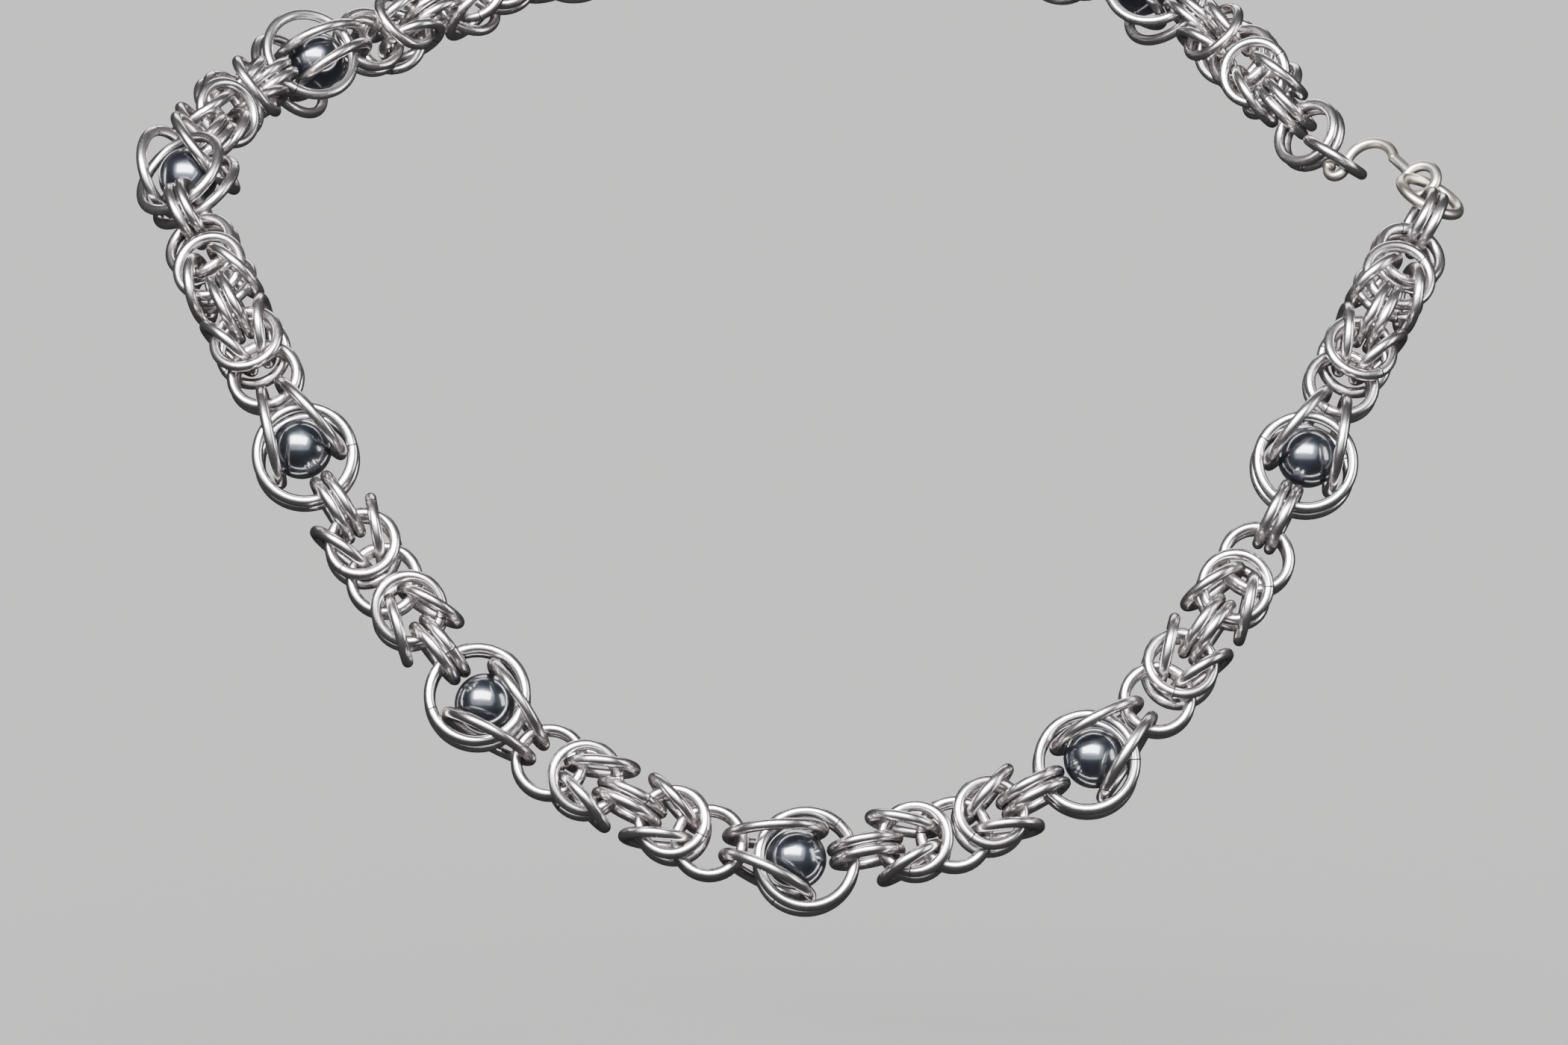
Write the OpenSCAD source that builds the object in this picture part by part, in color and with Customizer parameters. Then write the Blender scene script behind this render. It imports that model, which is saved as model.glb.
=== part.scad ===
// Byzantine chain with caged beads, closed by a hook, in the form it has round a neck.
// Millimetres, +Z up, the front of the necklace towards -Y and the wearer's left towards +X.
// The origin is the middle of the chain at the nape, where the back of the neck carries it.
// Every ring is a plain jump ring, and each ring is linked with its neighbours but clear of them.

/* [Wire] */
// Thickness of the round wire of the rings and the hook
wire_d = 1.5; // [1.3:0.05:1.7]
// Clear space between two rings that rest on each other
ring_gap = 0.15; // [0.11:0.01:0.2]

/* [Small rings] */
// Inside diameter of the small rings that make the knots
small_id = 7.15; // [6.8:0.05:8]
// Tilt of the two outer face-on rings of a knot, which open towards the next face-on pair
knot_tilt = 11; // [9:0.5:13]
// Turn of the two folded-back rings of a knot, which open towards the edge-on pair
fold_turn = 22; // [20:0.5:24]

/* [Cage rings] */
// Inside diameter of the large rings that cage a bead
cage_id = 11; // [10.6:0.1:12.5]
// Turn of each splayed ring beside a bead
splay_turn = 14.5; // [13:0.5:16]
// Tilt of the front and back rings of a cage
cage_tilt = 6; // [4:0.5:8]

/* [Beads] */
// Diameter of a bead
bead_d = 8; // [7.4:0.1:8.4]
// Distance of a bead from the middle of its cage, towards the splayed rings
bead_shift = 1.4; // [1.2:0.1:1.6]

/* [Clasp] */
// Inside diameter of the eye of the hook
eye_id = 3.2; // [3:0.1:3.6]
// Inside diameter of the bend of the hook
bend_id = 5.7; // [5.2:0.1:6.5]
// Length of the straight shank between the eye and the bend
shank_l = 3.6; // [3:0.1:5]
// Diameter of the ball at the tip of the hook
tip_ball_d = 1.9; // [1.8:0.1:2.4]
// Lean of the hook from standing on the chain's face towards the outer side of the neck
hook_lean = 30; // [0:5:30]

/* [Hidden] */
$fn = 60;

steel = [0.76, 0.75, 0.73];
bead_blue = [0.05, 0.06, 0.09];
hook_steel = [0.74, 0.70, 0.62];

// The order of the links, from the end that the hook catches, round the nape, the left and the
// front to the end that carries the hook. A letter is a pair of rings or a bead:
// e edge-on pair, f face-on pair, s splayed cage pair, B bead in its face-on cage pair,
// k the four rings of a knot between the pairs beside it, - a plain link between them.
pattern = str(
    "e-fkekfs", "BekfkeB", "sfkekfs", "BekfkeB", "sfkekfs", "Be-fkekfs",
    "BekfkeB", "sfkekfs", "BekfkeB", "sfkekf-eB", "sfkekf-e"
);
// The bead that hangs at the middle of the front, counted from the start of the pattern
front_bead = 8;
// The last bead of the back stretch
back_beads = 5;

// The route of the chain, in order from the middle of the front to +X, the nape and back:
// each row is a point of the route and the direction that the chain's face looks in there.
ROUTE = [
    [[0, -115, -122], [0, -18, 6]],
    [[32, -111, -113], [0, -18, 6]],
    [[55, -102, -91], [0, -18, 6]],
    [[75, -83, -55], [4, -15, 11]],
    [[85, -63, -37], [10, -9, 14]],
    [[72, -50, -32], [12, -1, 15]],
    [[54, -23, -13], [12, 4, 14]],
    [[29, -5, -5], [7, 11, 14]],
    [[0, 0, 0], [0, 15, 12]],
    [[-30, -3, -4], [-7, 11, 14]],
    [[-56, -15, -16], [-12, 5, 14]],
    [[-78, -38, -24], [-13, -2, 14]],
    [[-84, -69, -36], [-10, -9, 13]],
    [[-74, -91, -56], [-4, -15, 11]],
    [[-58, -103, -83], [0, -18, 6]],
    [[-33, -111, -110], [0, -18, 6]]
];

// Rings: mean radii, and how far each ring of a pair stands from the middle of the pair
small_r = (small_id + wire_d) / 2;
cage_r = (cage_id + wire_d) / 2;
pair_offset = (wire_d + ring_gap) / 2;

// Knot: places of its rings from the middle of its two outer rings, along the chain
edge_reach = small_id - wire_d / 2;
face_reach = 0.85 * small_id - wire_d / 2;
outer_lift = pair_offset + 0.8 * wire_d + ring_gap;
fold_back = small_id / 7;
fold_side = 0.2 * small_id + 0.8 * wire_d;
knot_l = edge_reach + face_reach;
// Plain link between the middles of an edge-on and a face-on pair
link_l = 2 * small_r - wire_d - 0.4;
// The same for the single ring at each end of the chain, which lies slacker
end_l = link_l - 0.5;

// Cage: places of its rings from the middle of its face-on pair
cage_lift = pair_offset + 0.5 * wire_d + 2 * ring_gap;
splay_back = cage_r - wire_d - 0.1;
splay_side = 0.31 * bead_d + wire_d / 4;
bead_to_tip = sqrt(pow(bead_d / 2 + wire_d / 2 + 1.2 * ring_gap, 2) - pow(pair_offset, 2));
cage_to_edge = small_r - bead_shift + bead_to_tip + 0.18;
cage_to_face = splay_back + cage_r * cos(splay_turn) + small_r - wire_d - 4.4 * ring_gap;

// Hook in its own plane: the eye lies round the origin and the bend towards +X
eye_r = (eye_id + wire_d) / 2;
bend_r = (bend_id + wire_d) / 2;
bend_from = 150;
bend_to = -15;
flare_r = 0.8 * wire_d;
flare_angle = 200;
shank_from = [eye_r * cos(25), eye_r * sin(25)];
shank_to = shank_from + shank_l * [cos(29), sin(29)];
bend_centre = shank_to - bend_r * [cos(bend_from), sin(bend_from)];
// Where the caught ring's wire lies in the bend, and the length from ring middle to ring middle
caught_at = bend_centre[0] + bend_id / 2 - wire_d / 2 - 3 * ring_gap;
hook_l = small_r + caught_at + small_r;

// Small vector helpers
function unit(v) = v / norm(v);
function across_part(v, along) = unit(v - (v * along) * along);

// Route: a closed Catmull-Rom curve through the rows, measured along its length
function row(i, part) = ROUTE[(i + len(ROUTE)) % len(ROUTE)][part];
function blend(a, b, c, d, t) =
    ((2 * b) + (c - a) * t + (2 * a - 5 * b + 4 * c - d) * t * t + (3 * b - a - 3 * c + d) * t * t * t) / 2;
function along_rows(t, part) =
    let (i = floor(t), u = t - i)
    blend(row(i - 1, part), row(i, part), row(i + 1, part), row(i + 2, part), u);
route_steps = 16;
route_samples = [for (i = [0:len(ROUTE) * route_steps]) along_rows(i / route_steps, 0)];
route_table = [
    for (i = 0, s = 0; i < len(route_samples);
         s = s + (i + 1 < len(route_samples) ? norm(route_samples[i + 1] - route_samples[i]) : 0), i = i + 1)
        [s, i / route_steps]
];
raw_length = route_table[len(route_table) - 1][0];

// Stations: every pair and bead of the pattern, with its distance along the chain
function is_station(letter) = len(search(letter, "efsB")) > 0;
function gap_after(i) =
    let (a = pattern[i], b = pattern[i + 1])
    a == "k" ? knot_l
    : a == "-" ? link_l
    : b == "k" || b == "-" || b == undef ? 0
    : a == "s" && b == "B" || a == "B" && b == "s" ? splay_back
    : a == "s" || b == "s" ? cage_to_face - splay_back
    : cage_to_edge;
marks = [for (i = 0, s = 0; i < len(pattern); s = s + gap_after(i), i = i + 1) [pattern[i], s, i]];
stations = [for (m = marks) if (is_station(m[0])) m];
last = len(stations) - 1;
bead_stations = [for (i = [0:last]) if (stations[i][0] == "B") i];
chain_l = stations[last][1];
loop_l = chain_l + hook_l + 2 * end_l;
front_s = stations[bead_stations[front_bead - 1]][1];

// The loop is as long as its links: the route is drawn at that size
route_scale = loop_l / raw_length;
function route_t(s) =
    let (a = s - front_s, wrapped = a < 0 ? a + loop_l : a)
    lookup(wrapped / route_scale, route_table);
function route_point(s) = route_scale * along_rows(route_t(s), 0);
function route_face(s) = along_rows(route_t(s), 1);

// The two single rings of the clasp continue the stations at both ends
all_s = concat([-end_l], [for (st = stations) st[1]], [chain_l + end_l]);
raw_points = [for (s = all_s) route_point(s)];
raw_faces = [for (s = all_s) route_face(s)];
count = len(all_s);
function chord(points, i) = unit(points[min(i + 1, count - 1)] - points[max(i - 1, 0)]);
function between(points, i) =
    let (share = (all_s[i] - all_s[i - 1]) / (all_s[i + 1] - all_s[i - 1]))
    points[i - 1] + share * (points[i + 1] - points[i - 1]);
// An edge-on ring turns only out of the chain's face, and a face-on ring only within it. So edge-on
// stations lie on the straight line between face-on ones as seen on the face, and face-on
// stations on the line between edge-on ones as seen from the side.
function settled(i) =
    let (
        along = chord(raw_points, i),
        face = across_part(raw_faces[i], along),
        free = i % 2 == 1 ? cross(face, along) : face,
        off = between(raw_points, i) - raw_points[i]
    )
    raw_points[i] + (off * free) * free;
points = [for (i = [0:count - 1]) i == 0 || i == count - 1 ? raw_points[i] : settled(i)];
alongs = [for (i = [0:count - 1]) chord(points, i)];
faces = [for (i = [0:count - 1]) across_part(raw_faces[i], alongs[i])];

// A ring is its middle, its axis and its mean radius
function pair(middle, axis, offset, radius) =
    [for (side = [-1, 1]) [middle + side * offset * axis, axis, radius]];
function edge_pair(i) = pair(points[i], cross(faces[i], alongs[i]), pair_offset, small_r);
function face_pair(i) = pair(points[i], faces[i], pair_offset, small_r);

// The four small rings of a knot between the edge-on pair e and the face-on pair f
function knot(e, f) =
    let (
        along = unit(points[f] - points[e]),
        up = across_part(faces[e] + faces[f], along),
        side_way = cross(up, along),
        middle = points[e] + (points[f] - points[e]) * edge_reach / knot_l
    )
    concat(
        [for (side = [-1, 1])
            [middle + side * outer_lift * up, cos(knot_tilt) * up - side * sin(knot_tilt) * along, small_r]],
        [for (side = [-1, 1])
            [middle - fold_back * along + side * fold_side * side_way,
             cos(fold_turn) * side_way + side * sin(fold_turn) * along, small_r]]
    );

// The four large rings round a bead: the face-on pair at b and the splayed pair at s
function cage(b, s, e) =
    let (
        to_edge = unit(points[e] - points[b]),
        to_bead = unit(points[b] - points[s]),
        lean = across_part(to_edge + to_bead, faces[b]),
        up = across_part(faces[s], to_bead),
        side_way = cross(up, to_bead)
    )
    concat(
        [for (side = [-1, 1])
            [points[b] + side * cage_lift * faces[b],
             cos(cage_tilt) * faces[b] + side * sin(cage_tilt) * lean, cage_r]],
        [for (side = [-1, 1])
            [points[s] + side * splay_side * side_way,
             cos(splay_turn) * side_way - side * sin(splay_turn) * to_bead, cage_r]]
    );

// Stations start at 1 in points, because the caught ring comes first
function station_of_bead(k) = bead_stations[k - 1] + 1;
function splay_of_bead(k) =
    let (i = station_of_bead(k))
    stations[i - 2][0] == "s" ? i - 1 : i + 1;
function edge_of_bead(k) = 2 * station_of_bead(k) - splay_of_bead(k);

// All small rings of the chain between two stations, both included
function small_rings(from, to) = [
    for (j = [from:to])
        let (
            letter = stations[j][0],
            i = j + 1,
            follows = pattern[stations[j][2] + 1],
            rings = concat(
                letter == "e" ? edge_pair(i) : letter == "f" ? face_pair(i) : [],
                follows == "k" && j < last ? (letter == "e" ? knot(i, i + 1) : knot(i + 1, i)) : []
            )
        )
        each rings
];

module ring(data) {
    axis = data[1];
    translate(data[0])
        rotate([0, acos(axis[2]), atan2(axis[1], axis[0])])
            rotate_extrude()
                translate([data[2], 0])
                    circle(d = wire_d);
}

module rings(list) {
    for (data = list) ring(data);
}

module byzantine_chain_back() {
    color(steel) rings(small_rings(0, bead_stations[back_beads - 1]));
}

module byzantine_chain_front() {
    color(steel) rings(small_rings(bead_stations[back_beads - 1] + 1, last));
}

module cage_rings(k) {
    color(steel) rings(cage(station_of_bead(k), splay_of_bead(k), edge_of_bead(k)));
}

module bead(k) {
    middle = points[station_of_bead(k)];
    to_splay = unit(points[splay_of_bead(k)] - middle);
    color(bead_blue) translate(middle + bead_shift * to_splay) sphere(d = bead_d);
}

// The two single rings of the clasp are pulled halfway between the chain and the hook, and the hook
// reaches from the far point of the one to the near point of the other
clasp_along = unit(points[0] - points[count - 1]);
clasp_ring_along = unit(clasp_along + unit(points[count - 1] - points[count - 2]));
catch_ring_along = unit(clasp_along + unit(points[1] - points[0]));
eye_point = points[count - 1] + small_r * clasp_ring_along;
caught_point = points[0] - small_r * catch_ring_along;
hook_along = unit(caught_point - eye_point);

module catch_ring() {
    color(steel) ring([points[0], across_part(faces[0], catch_ring_along), small_r]);
}

module clasp_ring() {
    color(hook_steel) ring([points[count - 1], across_part(faces[count - 1], clasp_ring_along), small_r]);
}

// A bent stretch of hook wire, in the plane of the hook
module wire_arc(centre, radius, from, to) {
    translate([centre[0], centre[1], 0])
        rotate([0, 0, min(from, to)])
            rotate_extrude(angle = abs(to - from))
                translate([radius, 0])
                    circle(d = wire_d);
}

// The hook flat in its own plane: eye round the origin, bend along +X, opening towards -Y
module flat_hook() {
    bend_end = bend_centre + bend_r * [cos(bend_to), sin(bend_to)];
    flare_centre = bend_centre + (bend_r + flare_r) * [cos(bend_to), sin(bend_to)];
    flare_end_angle = bend_to + 180 + flare_angle;
    flare_end = flare_centre + flare_r * [cos(flare_end_angle), sin(flare_end_angle)];
    rotate_extrude() translate([eye_r, 0]) circle(d = wire_d);
    translate([shank_from[0], shank_from[1], 0])
        rotate([0, 90, 29])
            cylinder(d = wire_d, h = shank_l);
    translate([shank_to[0], shank_to[1], 0]) sphere(d = 1.04 * wire_d);
    wire_arc(bend_centre, bend_r, bend_from, bend_to);
    translate([bend_end[0], bend_end[1], 0]) sphere(d = 1.04 * wire_d);
    wire_arc(flare_centre, flare_r, bend_to + 180, flare_end_angle);
    translate([flare_end[0], flare_end[1], 0]) sphere(d = tip_ball_d);
}

module clasp_hook() {
    along = hook_along;
    face_up = across_part(faces[0] + faces[count - 1], along);
    up = cos(hook_lean) * face_up + sin(hook_lean) * cross(along, face_up);
    side_way = cross(along, up);
    color(hook_steel)
        multmatrix([
            [along[0], up[0], side_way[0], eye_point[0]],
            [along[1], up[1], side_way[1], eye_point[1]],
            [along[2], up[2], side_way[2], eye_point[2]],
            [0, 0, 0, 1]
        ])
            flat_hook();
}

byzantine_chain_front();
byzantine_chain_back();
clasp_ring();
clasp_hook();
catch_ring();
for (k = [1:10]) {
    bead(k);
    cage_rings(k);
}
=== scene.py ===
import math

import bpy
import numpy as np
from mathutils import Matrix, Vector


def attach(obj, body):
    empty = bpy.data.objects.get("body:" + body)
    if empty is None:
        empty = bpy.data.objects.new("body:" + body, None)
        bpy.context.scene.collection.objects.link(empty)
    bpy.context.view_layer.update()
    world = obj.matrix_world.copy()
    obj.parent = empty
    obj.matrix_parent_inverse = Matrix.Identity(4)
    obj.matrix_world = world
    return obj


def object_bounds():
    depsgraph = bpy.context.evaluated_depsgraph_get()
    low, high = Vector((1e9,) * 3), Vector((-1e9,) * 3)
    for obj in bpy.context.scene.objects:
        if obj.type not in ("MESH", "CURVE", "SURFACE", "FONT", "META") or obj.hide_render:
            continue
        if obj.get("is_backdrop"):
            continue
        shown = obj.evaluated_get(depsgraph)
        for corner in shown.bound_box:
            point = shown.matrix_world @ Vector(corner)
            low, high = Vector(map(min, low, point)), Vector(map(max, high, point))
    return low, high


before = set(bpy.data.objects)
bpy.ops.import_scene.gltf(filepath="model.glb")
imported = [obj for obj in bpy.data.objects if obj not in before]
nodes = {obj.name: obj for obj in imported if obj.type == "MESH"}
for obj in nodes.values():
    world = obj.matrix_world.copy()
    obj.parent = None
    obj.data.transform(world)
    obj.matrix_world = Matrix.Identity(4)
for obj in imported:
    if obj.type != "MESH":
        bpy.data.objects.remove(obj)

# %% [markdown]
# # A byzantine chain with caged beads
#
# The necklace is made of jump rings: small rings of wire that a maker opens, hooks into each other and
# closes again. In the byzantine weave they form edge-on pairs, face-on pairs and knots of folded rings.
# After every second knot a round bead sits in a cage of four larger rings.
#
# The solids of all rings, beads and the hook come with the frame, so their places are settled. What is
# left for Blender is what a solid does not have: the seam where the ends of each ring meet, the finish
# of steel and stone, the light and a camera.

MM = 0.001
WIRE_RADIUS = 0.75 * MM
cad_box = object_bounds()

bead_nodes = [name for name in sorted(nodes) if name.startswith("bead")]
ring_nodes = [name for name in sorted(nodes) if name not in bead_nodes and name != "clasp_hook"]
print("nodes of rings:", len(ring_nodes), "- nodes of beads:", len(bead_nodes))
print("box of the solids in mm:", [[round(v / MM, 1) for v in corner] for corner in cad_box])

# %% [markdown]
# ## Selecting
#
# An operator works on everything that is selected, and a frame that was just loaded comes with all its
# solids selected. So each step here starts from an empty selection and says which objects it means.

# %% Select some objects and nothing else
def only(*objects):
    bpy.ops.object.select_all(action="DESELECT")
    for item in objects:
        item.select_set(True)
    bpy.context.view_layer.objects.active = objects[0]


only(nodes["clasp_hook"])
print("selected now:", [item.name for item in bpy.context.selected_objects])

# %% [markdown]
# ## Reading where each ring lies
#
# A seam has to sit exactly on its ring, so the middle, the axis and the radius of each ring are needed.
# They could be typed in, but there are more than two hundred, and the solids know them already. A
# copy of a node has its loose triangles merged and is pulled apart into its rings, and each ring is
# measured. The copies are then thrown away, and the solids stay as they are.

# %% Pull a copy of a node apart into its rings
SAME_POINT = 0.001 * MM


def loose_rings(name):
    only(nodes[name])
    bpy.ops.object.duplicate()
    bpy.ops.object.mode_set(mode="EDIT")
    bpy.ops.mesh.select_all(action="SELECT")
    bpy.ops.mesh.remove_doubles(threshold=SAME_POINT)
    bpy.ops.mesh.separate(type="LOOSE")
    bpy.ops.object.mode_set(mode="OBJECT")
    return list(bpy.context.selected_objects)


def throw_away(copies):
    meshes = [item.data for item in copies]
    for item in copies:
        bpy.data.objects.remove(item)
    for mesh in meshes:
        bpy.data.meshes.remove(mesh)


# %% [markdown]
# The mean of a ring's points is its middle. The points spread widely within the plane of the ring and
# only a little across it, so the direction in which they spread least is the axis. The point that lies
# furthest from the axis is on the outside of the wire, half a wire beyond its centre line.

# %% Measure one ring
def measured(ring):
    points = np.empty(len(ring.data.vertices) * 3)
    ring.data.vertices.foreach_get("co", points)
    points = points.reshape(-1, 3)
    middle = points.mean(axis=0)
    around = points - middle
    axis = np.linalg.eigh(np.cov(around.T))[1][:, 0]
    axis = -axis if axis[1] > 0 else axis
    from_axis = around - np.outer(around @ axis, axis)
    radius = np.linalg.norm(from_axis, axis=1).max() - WIRE_RADIUS
    return Vector(middle), Vector(axis), float(radius)


# %% Measure them all
rings = {}
for name in ring_nodes:
    copies = loose_rings(name)
    rings[name] = sorted((measured(ring) for ring in copies), key=lambda ring: tuple(ring[0]))
    throw_away(copies)
print("rings measured:", sum(len(found) for found in rings.values()))
print("their radii in mm:", sorted({round(r / MM, 1) for found in rings.values() for _, _, r in found}))

# %% [markdown]
# ## The seam of a jump ring
#
# A jump ring is sawn from a coil of wire and closed by bringing its two ends together. A fine dark
# line crosses the wire there, and the saw leaves a slight burr on both sides of it. A slot cut through
# each ring would open it, and would need a boolean cut for every ring. A thin sleeve round the wire is
# simpler and keeps the ring whole: a filled circle, a touch thinner than the wire, is extruded three
# times along it, up onto the burr, across the line, and down again. Both its ends stay in the wire.
#
# There are more than two hundred seams, so the sleeve has only some fifty faces.

# %% Half length of the sleeve, half length of its raised middle, and how far it stands out
SLEEVE_END, SLEEVE_TOP = 0.18 * MM, 0.095 * MM
SUNK, RAISED = WIRE_RADIUS - 0.006 * MM, WIRE_RADIUS + 0.020 * MM
steps = [(-SLEEVE_END, SUNK), (-SLEEVE_TOP, RAISED), (SLEEVE_TOP, RAISED), (SLEEVE_END, SUNK)]
print("the sleeve is", round(2 * SLEEVE_END / MM, 2), "mm long")

# %% One seam, drawn along the Z axis
bpy.ops.object.select_all(action="DESELECT")
bpy.ops.mesh.primitive_circle_add(
    vertices=16, radius=SUNK, fill_type="NGON", location=(0, 0, -SLEEVE_END)
)
seam = bpy.context.active_object
seam.name = "seam"
bpy.ops.object.transform_apply(location=True, rotation=False, scale=False)
bpy.ops.object.mode_set(mode="EDIT")
bpy.ops.mesh.select_all(action="SELECT")
for (z_from, r_from), (z_to, r_to) in zip(steps[:-1], steps[1:]):
    bpy.ops.mesh.extrude_region_move(TRANSFORM_OT_translate={"value": (0, 0, z_to - z_from)})
    bpy.ops.transform.resize(value=(r_to / r_from, r_to / r_from, 1))
bpy.ops.mesh.select_all(action="SELECT")
bpy.ops.mesh.normals_make_consistent(inside=False)
bpy.ops.object.mode_set(mode="OBJECT")
bpy.ops.object.shade_smooth_by_angle(angle=math.radians(50))
print("faces in a seam:", len(seam.data.polygons))

# %% [markdown]
# The line is dark and its burrs are bright, and a seam that lies askew in space can't tell them apart
# by its place. So the sleeve carries a map that holds the distance along the wire, from 0 to 1, which
# goes with it wherever it is copied to.

# %% The distance along the wire, as the seam's own map
along_map = seam.data.uv_layers.new(name="along_wire")
for loop in seam.data.loops:
    z = seam.data.vertices[loop.vertex_index].co.z
    along_map.data[loop.index].uv = ((z + SLEEVE_END) / (2 * SLEEVE_END), 0.5)
reach = [corner.uv[0] for corner in along_map.data]
print("the map runs from", min(reach), "to", max(reach))

# %% [markdown]
# ## Where the seams sit
#
# Whoever closes the rings can't keep every seam out of sight, and on this chain they turn up all round.
# Chance would do, but it can also leave bare stretches. The golden angle spreads them more evenly and
# never repeats, so the seams step round by it from ring to ring. On the cages a few seams are plain to
# see, so those are given: an angle in degrees for the front and the back ring of a cage, counted from
# the right as seen from the front.

# %% The angle of each seam
GOLDEN_ANGLE = 137.508
SEEN_SEAMS = {"cage_6": [11], "cage_7": [200], "cage_8": [50, 232], "cage_9": [2], "cage_10": [150]}


def face_on_pair(name):
    places = range(len(rings[name]))
    return sorted(places, key=lambda i: -abs(rings[name][i][1].y))[:2]


def seam_angles(name):
    angles = [(place + len(name)) * GOLDEN_ANGLE % 360 for place in range(len(rings[name]))]
    front_first = sorted(face_on_pair(name), key=lambda i: rings[name][i][0].y)
    for i, angle in zip(front_first, SEEN_SEAMS.get(name, [])):
        angles[i] = angle
    return angles


print("seams of cage_8 at:", [round(angle) for angle in seam_angles("cage_8")])

# %% [markdown]
# The angle gives a direction as seen from the front, and the part of it that lies in the plane of the
# ring points at the seam. The sleeve's Z axis then goes along the wire there. If hardly any part of
# the direction lies in that plane, any point of the ring will do.

# %% Where a sleeve goes on its ring
TOO_SHORT = 0.05


def seam_place(ring, angle):
    middle, axis, radius = ring
    turned = math.radians(angle)
    wanted = Vector((math.cos(turned), 0, math.sin(turned)))
    outward = wanted - axis * axis.dot(wanted)
    outward = outward.normalized() if outward.length > TOO_SHORT else axis.orthogonal().normalized()
    along_wire = axis.cross(outward).normalized()
    turn = Matrix((outward, along_wire.cross(outward), along_wire)).transposed().to_4x4()
    return Matrix.Translation(middle + outward * radius) @ turn


print("first seam at mm:", [round(v / MM, 1) for v in seam_place(rings["cage_8"][0], 0).translation])


# %% Copy the seam to every ring of a node
def seams_of(name):
    copies = []
    for ring, angle in zip(rings[name], seam_angles(name)):
        only(seam)
        bpy.ops.object.duplicate()
        copies.append(bpy.context.active_object)
        copies[-1].data.transform(seam_place(ring, angle))
    only(*copies)
    if len(copies) > 1:
        bpy.ops.object.join()
    piece = bpy.context.active_object
    piece.name = "seams_" + name
    piece.data.name = piece.name
    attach(piece, "root")
    return piece


seam_pieces = {name: seams_of(name) for name in ring_nodes}
bpy.data.objects.remove(seam)
print("seams:", sum(len(found) for found in rings.values()), "in pieces:", len(seam_pieces))

# %% [markdown]
# ## Shader maths in Python
#
# A material is a sum of masks and noises. Clicked together as nodes, that is a long list of links. A
# small class that wraps a socket lets Python do the clicking: an expression such as 1 - mask * 0.4
# adds its own Math nodes, and every other node comes from one method.

# %% Link or set the sockets of a node
def fill_sockets(tree, made, inputs):
    for key, value in inputs.items():
        if isinstance(value, Shade):
            tree.links.new(value.socket, made.inputs[key])
        else:
            made.inputs[key].default_value = value


# %% A socket that can stand in a sum
class Shade:
    def __init__(self, tree, socket=None):
        self.tree = tree
        self.socket = socket

    def node(self, kind, settings, inputs, output=0):
        made = self.tree.nodes.new(kind)
        for key, value in settings.items():
            setattr(made, key, value)
        fill_sockets(self.tree, made, inputs)
        return Shade(self.tree, made.outputs[output])

    def maths(self, operation, first, second):
        return self.node("ShaderNodeMath", {"operation": operation}, {0: first, 1: second})

    def __add__(self, other):
        return self.maths("ADD", self, other)

    def __sub__(self, other):
        return self.maths("SUBTRACT", self, other)

    def __rsub__(self, other):
        return self.maths("SUBTRACT", other, self)

    def __mul__(self, other):
        return self.maths("MULTIPLY", self, other)

    def __abs__(self):
        return self.node("ShaderNodeMath", {"operation": "ABSOLUTE"}, {0: self})

    __radd__ = __add__
    __rmul__ = __mul__


# %% [markdown]
# Three nodes come back in every finish here: a noise, a smooth step from one level to another, and a
# blend of two colours.

# %% Noise, step and blend
def noise(place, scale, detail, roughness=0.5):
    inputs = {"Vector": place, "Scale": scale, "Detail": detail, "Roughness": roughness}
    return place.node("ShaderNodeTexNoise", {}, inputs)


def step(value, low, high):
    inputs = {"Value": value, "From Min": low, "From Max": high}
    return value.node("ShaderNodeMapRange", {"interpolation_type": "SMOOTHSTEP"}, inputs)


def blend(mask, first, second):
    return mask.node("ShaderNodeMix", {"data_type": "RGBA"}, {0: mask, 6: first, 7: second}, 2)


# %% [markdown]
# A finish is a recipe: a function that is given the object's own coordinates and gives back what goes
# into the sockets of the shader.

# %% Make a material from a recipe
def finish(name, recipe):
    material = bpy.data.materials.new(name)
    material.use_nodes = True
    tree = material.node_tree
    place = Shade(tree).node("ShaderNodeTexCoord", {}, {}, "Object")
    fill_sockets(tree, tree.nodes["Principled BSDF"], recipe(place))
    print(name, "has", len(tree.nodes), "nodes")
    return material


# %% [markdown]
# ## Polished steel
#
# The rings are bright stainless steel, a little warm, tumbled until they shine but are not quite a
# mirror. A plain metal shader looks like chrome in a drawing, because nothing on it changes. Real wire
# keeps faint ripples from coiling, which bend the long highlights, and a haze of fine scratches, which
# softens them in places. So the ripples go into the bump, the haze into the roughness, and slow patches
# shift the colour by a few percent. The edges carry painted shade: through the tint of the shader's
# edge reflection, light that grazes the wire's edge comes back darker, as if dark surroundings were
# mirrored there.

# %% A recipe for steel of a light and a dark tone
# The edge tint paints shade on the wire's edges, as if dark surroundings were mirrored there.
EDGE_SHADE_TINT = (0.45, 0.42, 0.42, 1)
RIPPLE_DEPTH = 0.02 * MM


def steel(light, dark, roughness):
    def recipe(place):
        patches = noise(place, 160, 2)
        haze = noise(place, 1900, 3, 0.6)
        ripples = noise(place, 420, 2)
        relief = {"Strength": 0.22, "Distance": RIPPLE_DEPTH, "Height": ripples + 0.08 * haze}
        return {
            "Base Color": blend(step(patches, 0.3, 0.7), dark, light),
            "Roughness": roughness + 0.08 * haze + 0.06 * patches,
            "Metallic": 1.0,
            # painted shade on the wire's edges
            "Specular Tint": EDGE_SHADE_TINT,
            "Normal": place.node("ShaderNodeBump", {}, relief),
        }
    return recipe


ring_recipe = steel((0.585, 0.562, 0.564, 1), (0.50, 0.472, 0.475, 1), 0.18)
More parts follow.
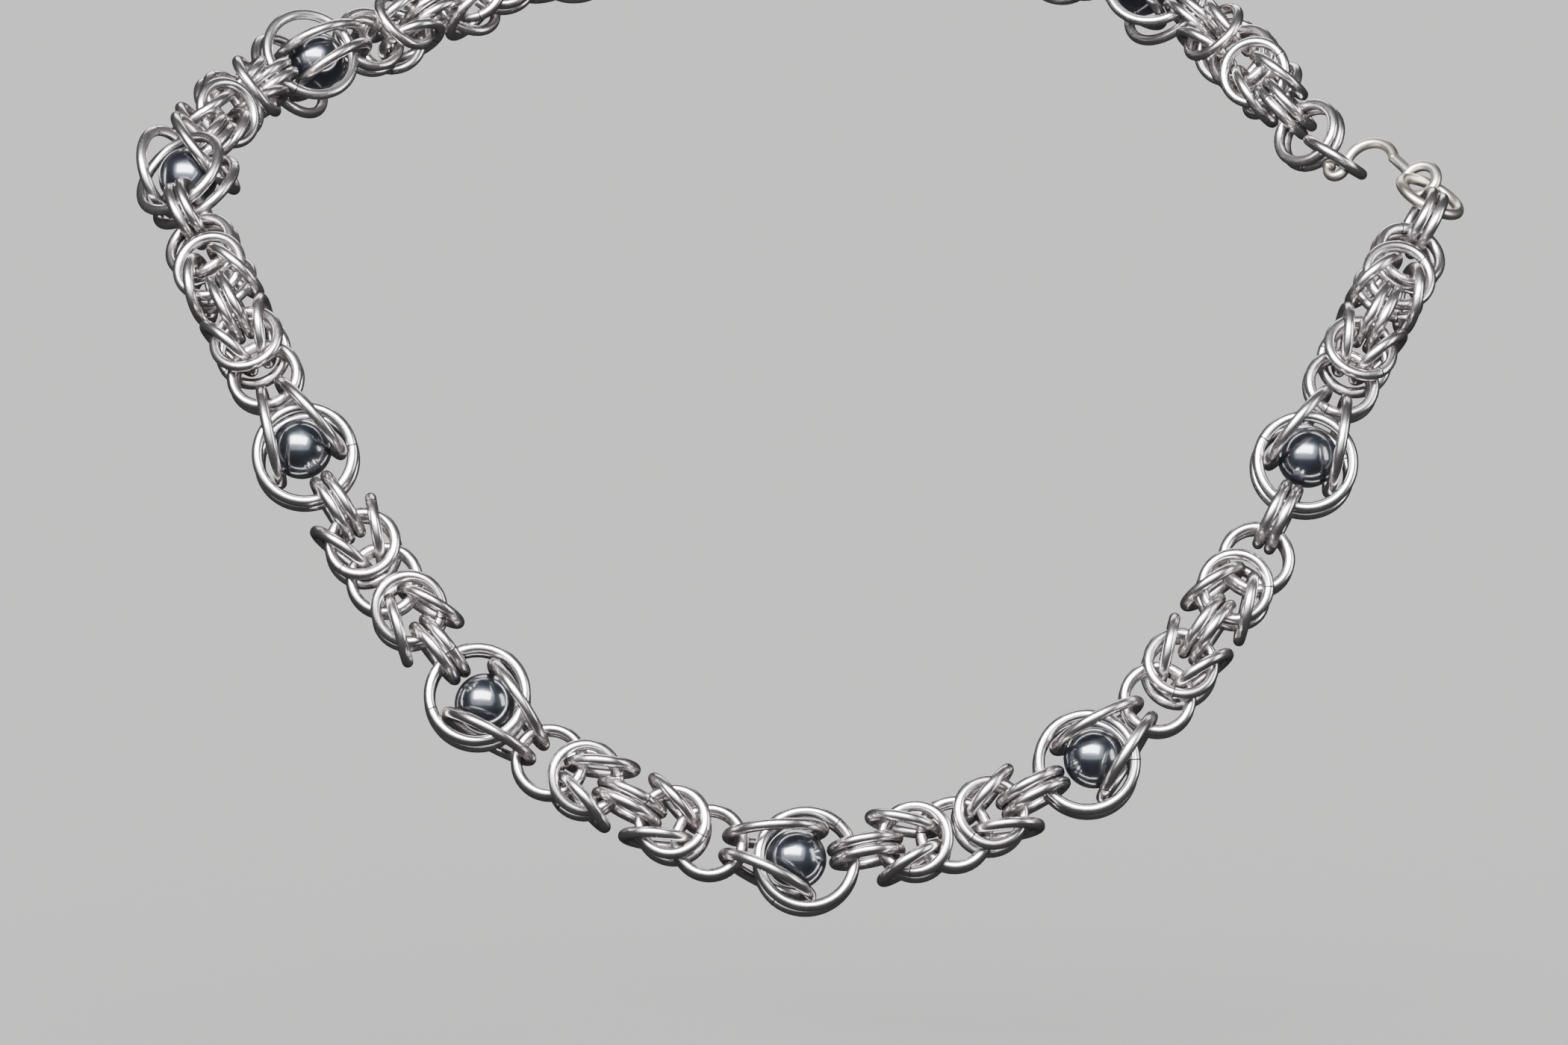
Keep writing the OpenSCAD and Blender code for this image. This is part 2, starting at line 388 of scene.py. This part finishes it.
# The clasp is steel too; its warmer, beige tint is a painted reflection of something brown near the
# hook.
warm_reflection_clasp_recipe = steel((0.58, 0.55, 0.50, 1), (0.50, 0.465, 0.41, 1), 0.26)
ring_steel = finish("ring steel", ring_recipe)
clasp_steel = finish("clasp steel", warm_reflection_clasp_recipe)

# %% [markdown]
# ## The seam's finish
#
# A seam is the steel of its ring with a dark line in the middle of its map. The line is painted shade:
# it stands for a narrow cleft that mirrors nothing, so it is nearly black, rough and less of a metal.
# It is full up to one distance from the middle of the map and gone at the next.

# %% Add the line of painted shade to a recipe for steel
# The line's near black is painted shade, standing for a narrow cleft.
CLEFT_SHADE = (0.012, 0.011, 0.010, 1)
LINE_FULL, LINE_GONE = 0.21, 0.26


def with_line(steel_recipe):
    def recipe(place):
        sockets = steel_recipe(place)
        along_wire = place.node("ShaderNodeUVMap", {"uv_map": "along_wire"}, {})
        along = place.node("ShaderNodeSeparateXYZ", {}, {0: along_wire})
        # The dark line blended in here is painted shade of a cleft.
        line = 1 - step(abs(along - 0.5), LINE_FULL, LINE_GONE)
        sockets["Base Color"] = blend(line, sockets["Base Color"], CLEFT_SHADE)
        sockets["Roughness"] = sockets["Roughness"] + 0.4 * line
        sockets["Metallic"] = 1 - 0.6 * line
        return sockets
    return recipe


ring_seam = finish("ring seam", with_line(ring_recipe))
clasp_seam = finish("clasp seam", with_line(warm_reflection_clasp_recipe))

# %% [markdown]
# ## Hematite beads
#
# The beads are polished hematite, an iron stone: near black with a blue cast, and bright only where a
# light is mirrored. It looks half metal and half glass, so the shader is mostly metallic with a clear
# coat over it. The stone mirrors far more light than glass does, and a coat with a high index does the
# same. Slow clouds and a fine haze keep it from looking like plastic.

# %% The stone
STONE_DARK, STONE_LIGHT = (0.024, 0.030, 0.042, 1), (0.040, 0.048, 0.066, 1)


def hematite(place):
    clouds = noise(place, 420, 3)
    haze = noise(place, 2400, 3, 0.6)
    relief = {"Strength": 0.12, "Distance": RIPPLE_DEPTH, "Height": clouds + 0.2 * haze}
    return {
        "Base Color": blend(step(clouds, 0.3, 0.75), STONE_DARK, STONE_LIGHT),
        "Roughness": 0.24 + 0.08 * haze + 0.05 * clouds,
        "Metallic": 0.7,
        "Coat Weight": 1.0,
        "Coat IOR": 1.9,
        "Coat Roughness": 0.15,
        "Normal": place.node("ShaderNodeBump", {}, relief),
    }


stone = finish("hematite", hematite)


# %% Give each solid and piece its finish
def dress(item, material):
    item.data.materials.clear()
    item.data.materials.append(material)


for name, item in nodes.items():
    metal = clasp_steel if name.startswith("clasp") else ring_steel
    dress(item, stone if name in bead_nodes else metal)
for name, item in seam_pieces.items():
    dress(item, clasp_seam if name == "clasp_ring" else ring_seam)
print("finishes on the solids:", sorted({item.data.materials[0].name for item in nodes.values()}))

# %% [markdown]
# ## The floor
#
# The necklace is held up as if it were worn, so the floor lies some way below it, wide enough to fill
# the picture. Steel mirrors all that is round it, and a pale floor in every ring would wash it out, so
# the floor is kept out of reflections. It has a fine grain like matt paper.

# %% A plain pale floor
FLOOR_WIDTH = 24
FLOOR_BELOW = 30 * MM


def matt_paper(place):
    grain = noise(place, 900, 2)
    return {
        "Base Color": blend(grain, (0.655, 0.650, 0.640, 1), (0.665, 0.660, 0.650, 1)),
        "Roughness": 0.9,
        "Specular IOR Level": 0.0,
    }


low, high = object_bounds()
centre = (low + high) / 2
bpy.ops.object.select_all(action="DESELECT")
bpy.ops.mesh.primitive_plane_add(size=FLOOR_WIDTH, location=(0, 0, low.z - FLOOR_BELOW))
floor = bpy.context.active_object
floor.name = "floor"
floor.visible_glossy = False
dress(floor, finish("matt paper", matt_paper))
floor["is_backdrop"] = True
print("floor at mm:", round(floor.location.z / MM, 1))

# %% [markdown]
# ## Soft light
#
# Metal shows its lights and not its colour. A large panel in front and above draws the long highlight
# along each wire, a wider and weaker one lifts the rest, and small ones at the right and behind mark
# the edges. The panels are seen only in reflections. The floor gets its even light from a very soft
# sun, which in turn is kept out of the reflections, so that each can be set without the other.

# %% A panel that shines at the middle of the necklace
def soft_panel(name, place, width, height, power):
    aim = (centre - Vector(place)).to_track_quat("-Z", "Y").to_euler()
    bpy.ops.object.light_add(type="AREA", location=place, rotation=aim)
    light = bpy.context.active_object
    light.name = name
    light.data.shape = "RECTANGLE"
    light.data.size = width
    light.data.size_y = height
    light.data.energy = power
    light.visible_diffuse = False
    return light


panels = [
    soft_panel("key panel", (-0.20, -0.86, 0.58), 1.20, 0.55, 95),
    soft_panel("wide panel", (-0.25, -1.30, 0.70), 2.80, 1.80, 26),
    soft_panel("right panel", (0.85, -0.35, 0.15), 0.25, 0.60, 5),
    soft_panel("back panel", (0.0, 0.60, 0.55), 0.60, 0.25, 4),
]
panels[1].data.color = (0.96, 0.98, 1.0)
print("panels:", [panel.name for panel in panels])

# %% The even light on the floor, and a faint light from all round
bpy.ops.object.light_add(type="SUN", rotation=(math.radians(35), math.radians(-12), 0))
sun = bpy.context.active_object
sun.name = "even light"
sun.data.energy = 5.0
sun.data.angle = math.radians(80)
sun.visible_glossy = False

WORLD_COLOUR, WORLD_LIGHT = (0.9, 0.92, 0.95, 1), 0.08
world = bpy.data.worlds.new("studio")
bpy.context.scene.world = world
world.use_nodes = True
background = world.node_tree.nodes["Background"]
fill_sockets(world.node_tree, background, {"Color": WORLD_COLOUR, "Strength": WORLD_LIGHT})
print("sun of", sun.data.energy, "and world of", WORLD_LIGHT)

# %% [markdown]
# ## The camera
#
# The picture is taken from well back with a long lens, so near and far rings keep nearly the same size,
# and from five degrees above the level of the front. The lowest bead hangs a little right of the middle
# of the picture and well below it, so the camera looks at a point above the middle of its cage.

# %% A long lens, well back
ELEVATION = math.radians(5)
DISTANCE = 1.10
MM_A_PIXEL = 0.0969
PICTURE_WIDTH = 2100
RIGHT_OF_AIM, BELOW_AIM = 30, 453.5

first, second = (rings["cage_8"][i][0] for i in face_on_pair("cage_8"))
front = (first + second) / 2
forward = Vector((0, math.cos(ELEVATION), -math.sin(ELEVATION)))
up = Vector((0, math.sin(ELEVATION), math.cos(ELEVATION)))
pixel = MM_A_PIXEL * MM
aim = front - Vector((RIGHT_OF_AIM * pixel, 0, 0)) + up * (BELOW_AIM * pixel)
bpy.ops.object.camera_add(location=aim - forward * DISTANCE, rotation=(math.pi / 2 - ELEVATION, 0, 0))
camera = bpy.context.active_object
camera.name = "camera"
camera.data.sensor_width = 36
camera.data.lens = camera.data.sensor_width * DISTANCE / (PICTURE_WIDTH * pixel)
camera.data.clip_start = 0.05
camera.data.clip_end = 40
bpy.context.scene.camera = camera
print("lens in mm:", round(camera.data.lens, 1))

# %% [markdown]
# ## The size
#
# Nothing that is added may make the necklace larger than its solids, so how far each corner of the
# box moved is printed.

# %% How far each corner of the box moved
full_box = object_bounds()
for corner, before, after in zip(("lowest", "highest"), cad_box, full_box):
    print(corner, "corner moved by mm:", [round((b - a) / MM, 3) for a, b in zip(before, after)])
